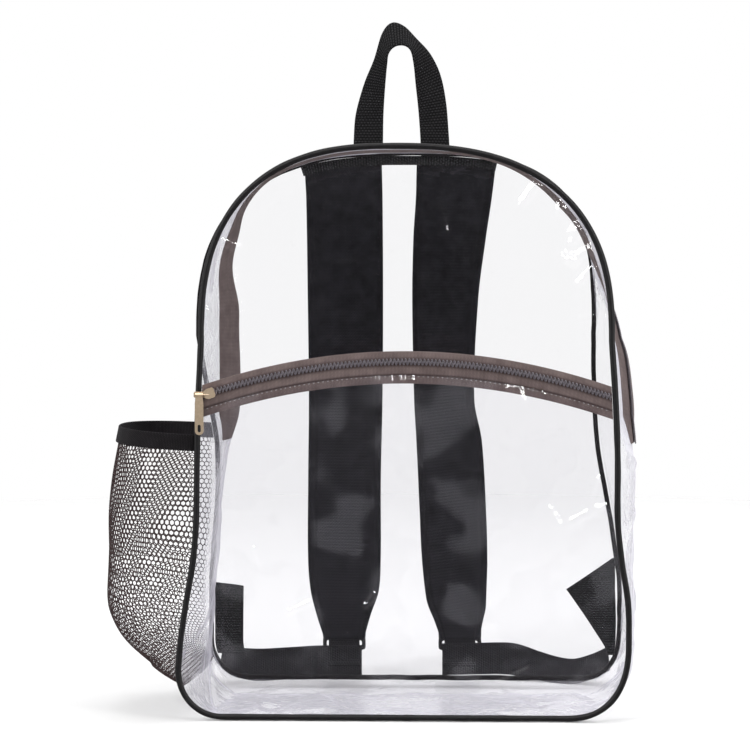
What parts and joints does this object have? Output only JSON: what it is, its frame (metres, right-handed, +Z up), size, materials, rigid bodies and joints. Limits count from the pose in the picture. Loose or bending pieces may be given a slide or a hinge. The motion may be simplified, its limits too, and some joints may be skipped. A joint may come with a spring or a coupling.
{
  "type": "clear stadium backpack",
  "caption": "Clear vinyl backpack with dark piping, arched front zip pocket, net side pocket, haul loop and shoulder straps, standing empty.",
  "frame": {"origin": "on the ground, under the middle of the whole object's box", "axes": "+Z up, the bag's front faces -Y, and the net side pocket is on the -X side"},
  "size_m": [0.402, 0.1972, 0.5154],
  "materials": {
    "vinyl": "clear, glossy, softly wrinkled",
    "piping": "satin",
    "webbing": "woven, matt",
    "strap": "woven, matt",
    "zip_tape": "fine weave, slight sheen",
    "zip_coil": "satin",
    "brass": "aged, satin",
    "plastic": "satin",
    "net": "open knitted mesh"
  },
  "bodies": {
    "bag": {"front_piping": "piping", "back_binding": "webbing", "front_panel": "vinyl", "back_panel": "vinyl", "gusset_front_strip": "vinyl", "gusset_rear_strip": "vinyl", "lower_gusset": "vinyl", "main_zip_front_tape": "zip_tape", "main_zip_rear_tape": "zip_tape", "main_zip_coil": "zip_coil", "main_slider_left": "brass", "main_slider_right": "brass", "pocket_zip_upper_tape": "zip_tape", "pocket_zip_coil": "zip_coil", "pocket_zip_lower_tape": "zip_tape", "pocket_panel": "vinyl", "pocket_slider": "brass", "top_band": "webbing", "haul_handle": "webbing", "shoulder_strap_left": "strap", "shoulder_strap_right": "strap", "strap_adjuster_left": "plastic", "strap_adjuster_right": "plastic", "lower_webbing_left": "webbing", "lower_webbing_right": "webbing", "corner_tab_left": "webbing", "corner_tab_right": "webbing", "mesh_pocket": "net", "mesh_pocket_hem": "webbing"},
    "pull": {"pocket_pull": "brass"}
  },
  "joints": [
    {"name": "pull_swing", "type": "hinge", "parent": "bag", "child": "pull", "pos_m": [-0.1191, -0.08962, 0.23733], "axis": [-1, 0, 0], "range_deg": [0, 160]}
  ]
}
